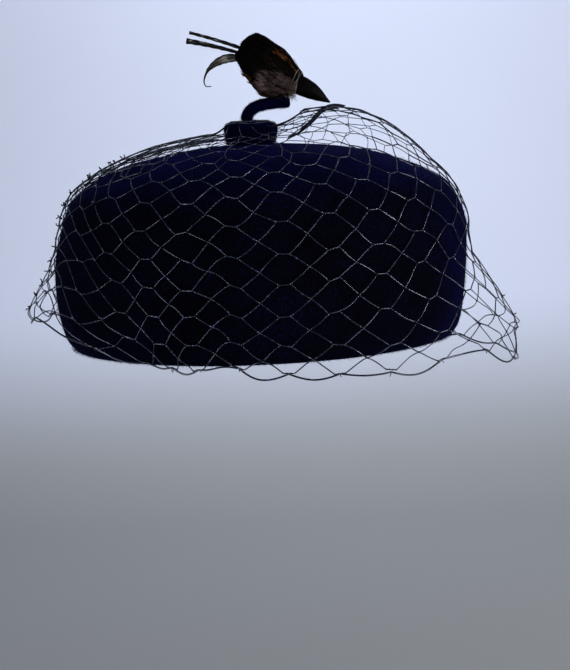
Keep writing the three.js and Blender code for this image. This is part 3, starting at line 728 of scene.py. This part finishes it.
def make_plume():
    turn = np.linspace(0, TURN, PLUME_AROUND, endpoint=False)[None]
    share = np.linspace(0, 1, PLUME_STEPS)[:, None]
    aside, above = plume_half(share, turn)
    ragged = 0.99 + 0.015 * np.sin(9 * turn + 14 * share)
    maker = Maker()
    maker.grid(in_trim(share * PLUME_LENGTH, aside * ragged, above * ragged))
    maker.close_ends(PLUME_STEPS, PLUME_AROUND)
    for _ in range(DARK_FEATHERS):
        angle = rng.uniform(0, TURN)
        start = rng.uniform(0.0, 0.66)
        add_feather(maker, angle, start, min(start + rng.uniform(0.3, 0.46), 0.99), rng.uniform(6, 9),
                    rng.uniform(0.0, 0.6), DARK_BARBS, rng.normal(0, 0.2))
    made = maker.piece("plume_feathers", dark_feather)
    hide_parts("plume")


def make_rust_feathers():
    maker = Maker()
    for group in RUST_FEATHERS:
        for _ in range(group["count"]):
            start = rng.uniform(*group["start"])
            add_feather(maker, math.radians(rng.uniform(*group["turn"])), start,
                        start + rng.uniform(*group["length"]), rng.uniform(*group["width"]),
                        rng.uniform(*group["lift"]), group["barbs"], rng.normal(0, group["sway"]))
    maker.piece("plume_rust_edge", rust_feather)


# Pale down on the body's lower right side, with a little on its left.
def make_down():
    along = rng.beta(1.0, 2.8, DOWN_STRANDS) * 0.56
    angle = math.radians(DOWN_TURN) + rng.normal(0, 0.24, DOWN_STRANDS)
    angle = np.where(rng.random(DOWN_STRANDS) < 0.15, -angle, angle)
    aside, above = plume_half(np.clip(along, 0, 1), angle)
    roots = in_trim(along * PLUME_LENGTH, aside, above)
    off = unit(roots - in_trim(along * PLUME_LENGTH, 0, 0))
    way = unit(off * 0.2 + TOWARD_TAIL * 0.85 + rng.normal(0, 0.2, (DOWN_STRANDS, 3)))
    size = rng.uniform(2, 6, (DOWN_STRANDS, 1))
    bend = rng.normal(0, 0.35, (DOWN_STRANDS, 3))
    maker = Maker()
    add_strands(maker, roots, way, size, bend, [0.1, 0.09, 0.07, 0])
    maker.piece("plume_down", grey_fluff, smooth=False)


def make_binding():
    maker = Maker()
    turns = np.linspace(0, TURN, 60)
    for start, slope in BINDING_TURNS:
        along = start + slope * np.sin(turns + start * 60)
        aside, above = plume_half(np.clip(along, 0, 1), turns)
        grow = 1 + 0.4 / np.hypot(aside, above)
        path = in_trim(along * PLUME_LENGTH, aside * grow, above * grow)
        maker.tube(path, BINDING_RADIUS, sides=6, reference=TOWARD_TAIL)
    maker.piece("plume_binding", curl_grey)


# Frayed ends below the neck, where the trim is sewn to the stem.
def make_frays():
    count = FRAYED_ENDS
    along, aside = rng.uniform(0.2, 6, count), rng.normal(0, 1.8, count)
    roots = in_trim(along, aside, -FRAYS_BELOW + rng.uniform(-0.4, 0.6, count))
    way = -OFF_STEM * 0.8 - TOWARD_TAIL * rng.uniform(-0.7, 0.9, (count, 1))
    way = unit(way + rng.normal(0, 0.3, (count, 3)))
    size = rng.uniform(1.2, 5.0, (count, 1))
    bend = rng.normal(0, 0.6, (count, 3))
    maker = Maker()
    add_strands(maker, roots, way, size, bend, [0.16, 0.14, 0.1, 0])
    maker.piece("trim_frays", curl_grey, smooth=False)


def make_tip():
    along = [TIP_INSET] + [-GAP - along * TIP_LENGTH for along, _, _ in TIP_ROWS[1:]]
    rows = in_trim(along, 0, [droop * TIP_LENGTH for _, _, droop in TIP_ROWS])
    path = smooth_path(rows, TIP_STEPS)
    share = np.linspace(0, 1, TIP_STEPS)
    radius = np.interp(share, [row[0] for row in TIP_ROWS], [row[1] for row in TIP_ROWS]) * TIP_DIAMETER
    maker = Maker()
    maker.tube(path, radius, sides=32, reference=SIDEWAYS)
    made = maker.piece("tip_gloss", gloss)
    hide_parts("plume_tip")


def make_quill(node, above, aside, droop, wide_root, wide_end):
    root = in_trim(PLUME_LENGTH - QUILL_ROOT, aside, above)
    middle = in_trim(PLUME_LENGTH + QUILL_LENGTH / 2, aside * 2, above + droop * 0.4)
    end = in_trim(PLUME_LENGTH + QUILL_LENGTH, aside * 3, above + droop)
    share = np.linspace(0, 1, QUILL_STEPS)[:, None]
    path = (1 - share) ** 2 * root + 2 * share * (1 - share) * middle + share ** 2 * end
    share = share[:, 0]
    width = (wide_root + (wide_end - wide_root) * share) * (1 + 0.08 * np.sin(share * 40))
    maker = Maker()
    maker.tube(path, width, sides=10, reference=SIDEWAYS, flat=QUILL_THICK / wide_root)
    # Short hairs left on the stripped shaft.
    hairs = (QUILL_HAIRS, 3)
    pick = rng.integers(4, QUILL_STEPS - 1, QUILL_HAIRS)
    forward = unit(np.gradient(path, axis=0))
    way = unit(forward[pick] + 0.9 * rng.normal(0, 1, hairs) * np.array([0.3, 0.6, 1.0]))
    size = rng.uniform(0.8, 2.2, (QUILL_HAIRS, 1))
    paths = np.stack([path[pick], path[pick] + way * size * 0.6, path[pick] + way * size + 0.2], axis=1)
    maker.ribbons(paths, unit(np.cross(way, rng.normal(size=hairs))), [0.1, 0.08, 0])
    made = maker.piece(node + "_horn", quill_horn)
    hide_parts(node)


# Curled feather: a pale flat blade, with dark edges, a dark shaft and dark barbs laid on it.
def make_curl():
    rows = in_trim([PLUME_LENGTH + along * CURL_SIZE for along, _, _ in CURL_ROWS], 0,
                   [above * CURL_SIZE for _, above, _ in CURL_ROWS])
    path = smooth_path(rows, CURL_STEPS)
    share = np.linspace(0, 1, CURL_STEPS)
    wide = np.interp(share, np.linspace(0, 1, len(CURL_ROWS)), [row[2] for row in CURL_ROWS])
    half = CURL_HALF_WIDTH * wide ** 2.2 * (1 + 0.06 * np.sin(share * 60))
    forward = unit(np.gradient(path, axis=0))
    up = unit(np.cross(forward, SIDEWAYS))
    blade = Maker()
    blade.tube(path, half, sides=12, reference=SIDEWAYS, flat=0.2)
    edges = Maker()
    edges.tube(path - 0.35 * SIDEWAYS, 0.26 * (1 - 0.6 * share), sides=6, reference=SIDEWAYS)
    for side in (1, -1):
        edges.tube(path + side * up * half[:, None], 0.32 * (1 - 0.5 * share), sides=6, reference=SIDEWAYS)
    at = rng.uniform(0.05, 1.0, CURL_BARBS)
    root, ahead, above = read_rows(at, share, path), read_rows(at, share, forward), read_rows(at, share, up)
    ahead, above = unit(ahead), unit(above)
    side = np.where(rng.random(CURL_BARBS) < 0.5, -1.0, 1.0)[:, None]
    size = (np.interp(at, share, wide ** 2) * CURL_BARB_LENGTH)[:, None]
    size = size * rng.uniform(0.8, 1.1, (CURL_BARBS, 1))
    way = unit(ahead * 0.8 + side * above * 0.75 + SIDEWAYS * rng.normal(0, 0.25, (CURL_BARBS, 1)))
    paths = np.stack([root, root + way * size * 0.6, root + way * size + ahead * size * 0.35], axis=1)
    edges.ribbons(paths, unit(np.cross(way, SIDEWAYS)), [0.2, 0.16, 0])
    edges.piece("curl_edges", dark_feather)
    made = blade.piece("curl_feather", curl_grey)
    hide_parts("curled_feather")


# Net veil. A place in it is a column round the hat and a mesh down from its top row. The real net is
# pulled a little out of line, and its meshes are longer in front than behind.
def net_pull(column, mesh, seed=NET_SEED):
    angle = TURN * column / NET_COLUMNS
    depth = mesh / NET_MESHES
    shift = 0.08 * unevenness(angle, depth * 1.2, seed)
    # Near the top the columns are gathered in twos, which leaves wide meshes between them.
    gathered = np.clip(1 - depth / 0.34, 0, 1)
    shift = shift - 0.44 * gathered * (2 - gathered) * np.sin(math.pi * (column - 0.5))
    # Low on the right side, towards the back, the net is swept forward.
    beside = (angle / SWEPT_AT - 1) * SWEPT_AT / SWEPT_SPREAD
    shift = shift + SWEPT_COLUMNS * (np.exp(-beside ** 2) * np.clip((depth - 0.5) / 0.5, 0, 1))
    drop = 0.12 * unevenness(angle, depth, seed + 1) * np.minimum(1, depth * 3)
    longer = 1 + 0.12 * np.tanh(2 * np.cos(angle))
    reached = NET_MESHES * np.clip(depth, 0, None) ** longer
    return column + shift, reached + drop * np.clip((NET_MESHES - mesh) / 2, 0.25, 1)


# Points of the net in space, and the directions off the felt there.
def on_net(column, mesh, off=0.0, lower=1.0):
    angle = TURN * np.asarray(column, float) / NET_COLUMNS
    hem = by_direction(angle, VEIL_HEM["front"], VEIL_HEM["back"], VEIL_HEM["side"])
    for place, spread, height in HEM_RAISED:
        beside = (angle - math.radians(place) + math.pi) % TURN - math.pi
        hem = hem - height * np.exp(-(beside / math.radians(spread)) ** 2)
    along = VEIL_START + (hem - VEIL_START) * np.asarray(mesh, float) / NET_MESHES
    read = [np.interp(along, VEIL_ROWS["along"], VEIL_ROWS[key]) for key in ("front", "back", "side")]
    lift = VEIL_LIFT * by_direction(angle, *read)
    return off_felt(angle, along, lift * lower + off, VEIL_LEVEL_FROM)


# A stretch of the lattice: short twists, and pairs of threads that run from them to the knots between.
def add_lattice(maker, columns, meshes, seed=NET_SEED, phase=0.0, lower=1.0, off=0.0):
    def place(column, mesh):
        return np.array(net_pull(column + phase, mesh, seed))

    def lay(ends, steps, radius, sides, slack=0.0):
        share = np.linspace(0, 1, steps)
        at = ends[0][:, None] * (1 - share) + ends[1][:, None] * share
        path, normal = on_net(at[0], at[1] + slack * np.sin(share * math.pi), off, lower)
        maker.tube(path, radius, sides=sides, reference=normal[0])

    twist_steps = 9
    turned = 0.8 + 0.2 * np.cos(np.linspace(0, 1, twist_steps) * 18)
    for mesh in meshes:
        for column in columns:
            # Over both sides of the crown's top the net is drawn tighter, and its threads are finer.
            to_left = math.sin(TURN * column / NET_COLUMNS)
            tight = mesh < 5 and to_left > 0.1 or mesh < 4 and to_left < -0.35
            fine = TIGHT_SHARE if tight else 1
            middle = place(column, mesh)
            here, beside = on_net(middle[0], middle[1])[0], on_net(middle[0] + 0.5, middle[1])[0]
            half = min(TWIST_LENGTH / 4 / np.linalg.norm(beside - here), 0.3)
            ends = {side: middle + [side * half, 0.04 * rng.normal()] for side in (-1, 1)}
            lay((ends[-1], ends[1]), twist_steps, fine * TWIST_RADIUS * turned, sides=5)
            for side in (-1, 1):
                for down in (-1, 1):
                    if mesh + down not in meshes:
                        continue
                    knot = place(column + 0.5 * side, mesh + 0.5 * down)
                    slack = 0.03 * rng.normal()
                    lay((ends[side], knot), 7, fine * THREAD_RADIUS, sides=4, slack=slack)
            if mesh + 1 in meshes:
                knot = place(column + 0.5, mesh + 0.5)
                half = np.array([KNOT_HALF_LENGTH, 0])
                lay((knot - half, knot + half), 3, KNOT_RADIUS, sides=5)


def on_button(column, reach):
    angle = TURN * np.asarray(column, float) / NET_COLUMNS
    height = np.interp(reach / BUTTON_RADIUS, OVER_BUTTON["reach"], OVER_BUTTON["height"]) * BUTTON_HEIGHT
    ahead, aside = reach * np.cos(angle) - BUTTON_BACK, reach * np.sin(angle)
    return np.array([ahead, aside, button_foot + height + OFF_BUTTON])


# Threads over the button, drawn together in twos at the ring round the stem.
def add_button_threads(maker):
    for column in EVERY_COLUMN[::2]:
        hub = on_net(*net_pull(column, 0.0))[0]
        edge = on_button(column + rng.normal(0, 0.3), BUTTON_RADIUS * 0.98)
        inner = on_button(column + rng.normal(0, 0.5), BUTTON_RADIUS * rng.uniform(0.68, 0.8))
        ring = on_button(4 * (column // 4) + 1 + rng.normal(0, 0.3), VEIL_RING)
        slack = edge * 0.5 + hub * 0.5 - rng.uniform(0.4, 1.8) * UP
        maker.tube(smooth_path([hub, slack, edge, inner, ring], 16), THREAD_RADIUS, sides=4)
    columns = np.linspace(0, NET_COLUMNS, 80)
    for reach, phase in ((VEIL_RING, 0.4), (VEIL_RING + 1.0, 1.7), (BUTTON_RADIUS * 0.9, 0.9)):
        swing = 0.35 * np.sin(columns * 1.3 + phase)
        ring = np.array([on_button(column, reach + aside) for column, aside in zip(columns, swing)])
        maker.tube(ring, THREAD_RADIUS, sides=4)


# Hem: one stronger thread, looped from twist to twist.
def add_hem(maker):
    steps = np.linspace(0, 1, 14)
    for column in EVERY_COLUMN:
        start, end = np.array(net_pull(column, NET_MESHES)), np.array(net_pull(column + 1, NET_MESHES))
        at = start[:, None] * (1 - steps) + end[:, None] * steps
        path, off = on_net(at[0], at[1] + rng.uniform(0.05, 0.3) * np.sin(steps * math.pi))
        maker.tube(path, THREAD_RADIUS * 1.5, sides=5, reference=off[0])


# Folds behind the button and down the back, where the net lies double.
def add_folds(maker):
    behind = []
    for column in EVERY_COLUMN:
        turn = TURN * column / NET_COLUMNS
        if math.cos(turn) < (-0.88 if math.sin(turn) < 0 else -0.5):
            behind.append(column)
    add_lattice(maker, behind, BUTTON_FOLD_MESHES, BUTTON_FOLD_SEED, phase=0.5, lower=0.7, off=-0.5)
    add_lattice(maker, BACK_FOLD_COLUMNS, BACK_FOLD_MESHES, BACK_FOLD_SEED, phase=0.5, lower=0.65)


# Gathered fold, a loose rope of threads from the button's foot up to the puff.
def add_rope(maker):
    rows = [off_felt(0.0, along, VEIL_LIFT * lift)[0] for along, lift in GATHER_ROWS]
    spine = smooth_path(rows, ROPE_STEPS)
    share = np.linspace(0, 1, ROPE_STEPS)
    up = np.cross(unit(np.gradient(spine, axis=0)), SIDEWAYS)
    for _ in range(ROPE_THREADS):
        phase = rng.uniform(0, TURN)
        wind = phase + share * rng.uniform(2, 6)
        spread = rng.uniform(0.3, 1.2) * (0.8 + 0.35 * np.sin(share * 7 + phase)) * (1 + 1.2 * share ** 4)
        path = spine + spread[:, None] * (SIDEWAYS * np.cos(wind)[:, None] + up * np.sin(wind)[:, None])
        stretch = path[rng.integers(0, 14):rng.integers(40, 53)]
        maker.tube(stretch, THREAD_RADIUS, sides=4, reference=SIDEWAYS)


# Cut thread ends that stand off the net, most of them at the back, and those that hang from its hem.
def add_cut_ends(maker):
    for k in range(CUT_ENDS_BEHIND + CUT_ENDS_AHEAD):
        if k < CUT_ENDS_BEHIND:
            column, mesh = round(CUT_COLUMN + rng.normal(0, 0.9)), rng.integers(3, 11)
        else:
            column, mesh = rng.integers(-1, 2), rng.integers(8, 11)
        to_knot = 0.5 * rng.integers(0, 2)
        root, off = on_net(*net_pull(column + to_knot, mesh + to_knot))
        tip = root + off * rng.uniform(0.2, 1.7) + rng.normal(0, 1.0, 3)
        bend = root * 0.5 + tip * 0.5 + rng.normal(0, 0.5, 3)
        maker.tube(smooth_path([root, bend, tip], 7), THREAD_RADIUS, sides=4)
    for column in EVERY_COLUMN:
        root = on_net(*net_pull(column, NET_MESHES))[0]
        for _ in range(rng.integers(0, 3)):
            tip = root - UP * rng.uniform(0.4, 1.6) + rng.normal(0, 0.8, 3)
            bend = root * 0.5 + tip * 0.5 + rng.normal(0, 0.3, 3)
            maker.tube(smooth_path([root, bend, tip], 6), THREAD_RADIUS * 0.7, sides=4, reference=SIDEWAYS)


def make_veil():
    maker = Maker()
    add_lattice(maker, EVERY_COLUMN, range(NET_MESHES + 1))
    add_button_threads(maker)
    add_hem(maker)
    add_folds(maker)
    add_rope(maker)
    add_cut_ends(maker)
    made = maker.piece("veil_net", thread)
    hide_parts("veil")


make_crown()
make_button()
make_stem()
make_plume()
make_rust_feathers()
make_down()
make_binding()
make_frays()
make_tip()
for quill in QUILLS:
    make_quill(**quill)
make_curl()
make_veil()


# Floor and backdrop in one sweep, with a soft curve between them.
FLOOR_LEVEL = -0.36
FLOOR_FADE = 0.22
FLOOR_COLOUR = (0.32, 0.33, 0.33, 1)
PAPER_STOPS = [(0.3, (0.61, 0.645, 0.77)), (0.7, (0.63, 0.665, 0.79))]
PAPER_SIDE = 3.0
PAPER_FRONT = -2.5
PAPER_TOP = 2.6
BACK_WALL = 1.5
SWEEP_RADIUS = 0.6


def make_backdrop():
    made, nodes, links, shader = material("studio paper", roughness=0.9, Specular_IOR_Level=0.1)
    tone = ramp(nodes, links, noise(nodes, links, scale=3, detail=2), PAPER_STOPS)
    fade = smooth_step(nodes, links, object_axes(nodes, links)["Z"], FLOOR_LEVEL, FLOOR_LEVEL + FLOOR_FADE)
    links.new(mix_colours(nodes, links, fade, FLOOR_COLOUR, tone), shader.inputs["Base Color"])
    profile = [(PAPER_FRONT, 0.0)]
    for bend in np.linspace(0, math.pi / 2, 24):
        profile.append((BACK_WALL - SWEEP_RADIUS + SWEEP_RADIUS * math.sin(bend),
                        SWEEP_RADIUS - SWEEP_RADIUS * math.cos(bend)))
    profile.append((BACK_WALL, PAPER_TOP))
    points = np.array([[(x, y, z + FLOOR_LEVEL) for x in (-PAPER_SIDE, PAPER_SIDE)] for y, z in profile])
    index = np.arange(len(profile) * 2).reshape(-1, 2)
    faces = [[a, b, d, c] for (a, b), (c, d) in zip(index[:-1].tolist(), index[1:].tolist())]
    mesh = bpy.data.meshes.new("backdrop")
    mesh.from_pydata(points.reshape(-1, 3).tolist(), [], faces)
    mesh.shade_smooth()
    mesh.materials.append(made)
    paper_sheet = bpy.data.objects.new("backdrop", mesh)
    bpy.context.collection.objects.link(paper_sheet)


def area_light(name, place, target, size, power, colour):
    data = bpy.data.lights.new(name, "AREA")
    data.shape = "DISK"
    data.size = size
    data.energy = power
    data.color = colour
    made = bpy.data.objects.new(name, data)
    made.location = place
    made.rotation_euler = (Vector(target) - Vector(place)).to_track_quat("-Z", "Y").to_euler()
    bpy.context.collection.objects.link(made)


# Lights: name, place, target, size across, power in watts and colour.
HAT_MIDDLE = (0, 0, 0.05)
COOL = (0.9, 0.94, 1.0)
LIGHTS = [
    ("key", (1.3, -0.42, 0.55), HAT_MIDDLE, 0.3, 13, (1.0, 0.98, 0.96)),
    ("fill", (-0.9, -1.05, 0.5), HAT_MIDDLE, 0.35, 5, COOL),
    ("low left", (-0.8, -0.85, -0.2), HAT_MIDDLE, 0.6, 8.5, COOL),
    ("low right", (0.85, -0.8, -0.2), HAT_MIDDLE, 0.6, 12, COOL),
    ("top", (0, 0.2, 1.3), (0, 0, 0.1), 0.8, 0.8, (0.75, 0.84, 1.0)),
    ("wall", (0.12, 0.75, 0.62), (0.1, 1.5, 0.2), 0.5, 4.5, COOL),
]

make_backdrop()
for light in LIGHTS:
    area_light(*light)

WORLD_COLOUR = (0.66, 0.7, 0.8, 1)
WORLD_STRENGTH = 0.27
world = bpy.data.worlds.new("studio")
world.use_nodes = True
background = world.node_tree.nodes["Background"]
background.inputs["Color"].default_value = WORLD_COLOUR
background.inputs["Strength"].default_value = WORLD_STRENGTH
bpy.context.scene.world = world

# Camera at the photograph's angle.
EYE = Vector((0.01134, -0.8, 0.12))
TARGET = Vector((0.01134, 0, 0))
ROLL = math.radians(-2.5)
LENS = 79.6
SENSOR_HEIGHT = 36
camera_data = bpy.data.cameras.new("camera")
camera_data.sensor_fit = "VERTICAL"
camera_data.sensor_height = SENSOR_HEIGHT
camera_data.lens = LENS
camera_data.clip_start = 0.01
camera = bpy.data.objects.new("camera", camera_data)
forward = (TARGET - EYE).normalized()
right = forward.cross(Vector((0, 0, 1))).normalized()
above = right.cross(forward)
turned_right = right * math.cos(ROLL) + above * math.sin(ROLL)
turned_up = above * math.cos(ROLL) - right * math.sin(ROLL)
pose = Matrix((turned_right, turned_up, -forward)).transposed().to_4x4()
pose.translation = EYE
camera.matrix_world = pose
bpy.context.collection.objects.link(camera)
bpy.context.scene.camera = camera
bpy.context.scene.view_settings.view_transform = "Standard"
